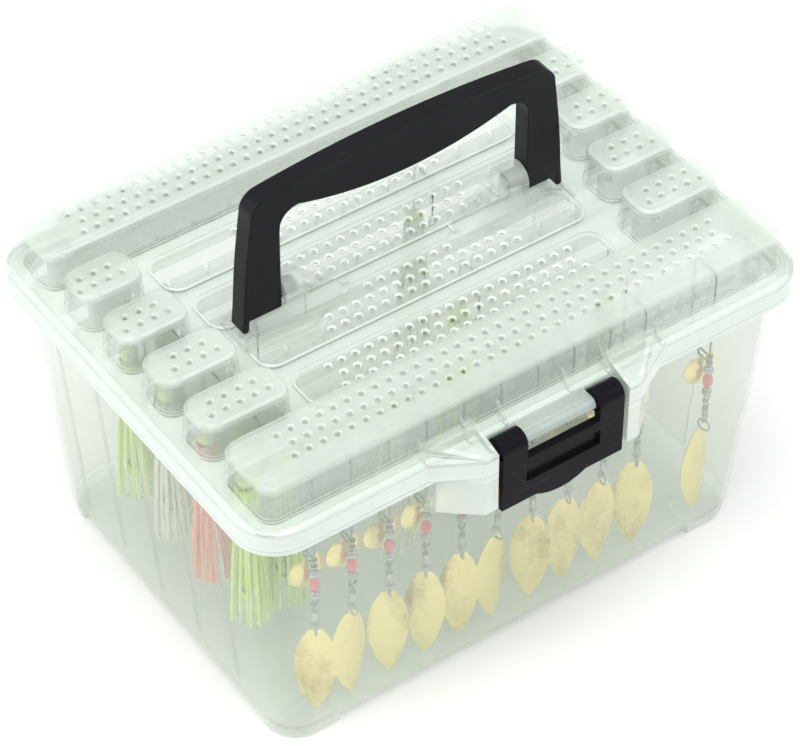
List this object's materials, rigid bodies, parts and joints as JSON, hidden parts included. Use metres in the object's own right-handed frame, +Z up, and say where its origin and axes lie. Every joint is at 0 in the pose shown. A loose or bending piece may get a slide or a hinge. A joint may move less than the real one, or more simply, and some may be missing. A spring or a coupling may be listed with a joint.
{
  "type": "tackle box",
  "caption": "Clear tackle box with tapered tub, ridged drain-hole lid, folding bail handle, front latch and slotted racks of hanging spinner lures.",
  "frame": {"origin": "on the ground under the middle of the box, between its four feet", "axes": "+Z up, -Y towards the latch at the front, +X to the right seen from the front"},
  "size_m": [0.3, 0.2488, 0.2436],
  "materials": {
    "clear_shell": "clear moulded polypropylene, faintly frosted",
    "rack_plastic": "frosted moulded polypropylene",
    "black_plastic": "black moulded plastic, satin",
    "pin_steel": "drawn steel pin",
    "wire_steel": "spring steel wire",
    "nickel": "nickel plate",
    "red_plastic": "glossy red bead",
    "gold_blade": "hammered pale gold plate",
    "head_paint": "painted lead",
    "skirt_rubber": "frayed silicone rubber strands"
  },
  "bodies": {
    "tub": {"tub": "clear_shell", "hinge_pins": "pin_steel", "bait_rack_1": "rack_plastic", "bait_rack_2": "rack_plastic", "bait_rack_3": "rack_plastic", "bait_rack_4": "rack_plastic", "bait_rack_5": "rack_plastic", "bait_rack_6": "rack_plastic", "lure_wires": "wire_steel", "silver_beads": "nickel", "red_beads": "red_plastic", "clevises": "nickel", "small_blades": "gold_blade", "swivels": "nickel", "split_rings": "nickel", "willow_blades": "gold_blade", "lead_heads": "head_paint", "hooks": "wire_steel", "skirts": "skirt_rubber"},
    "lid": {"lid": "clear_shell"},
    "handle": {"handle": "black_plastic"},
    "latch": {"latch": "black_plastic", "latch_pin": "pin_steel"}
  },
  "joints": [
    {"name": "lid_hinge", "type": "hinge", "parent": "tub", "child": "lid", "pos_m": [0, 0.1198, 0.15], "axis": [-1, 0, 0], "range_deg": [0, 110]},
    {"name": "handle_pivot", "type": "hinge", "parent": "lid", "child": "handle", "pos_m": [0, 0, 0.178], "axis": [1, 0, 0], "range_deg": [-88, 88]},
    {"name": "latch_pivot", "type": "hinge", "parent": "lid", "child": "latch", "pos_m": [0, -0.1186, 0.1563], "axis": [-1, 0, 0], "range_deg": [0, 110]}
  ]
}
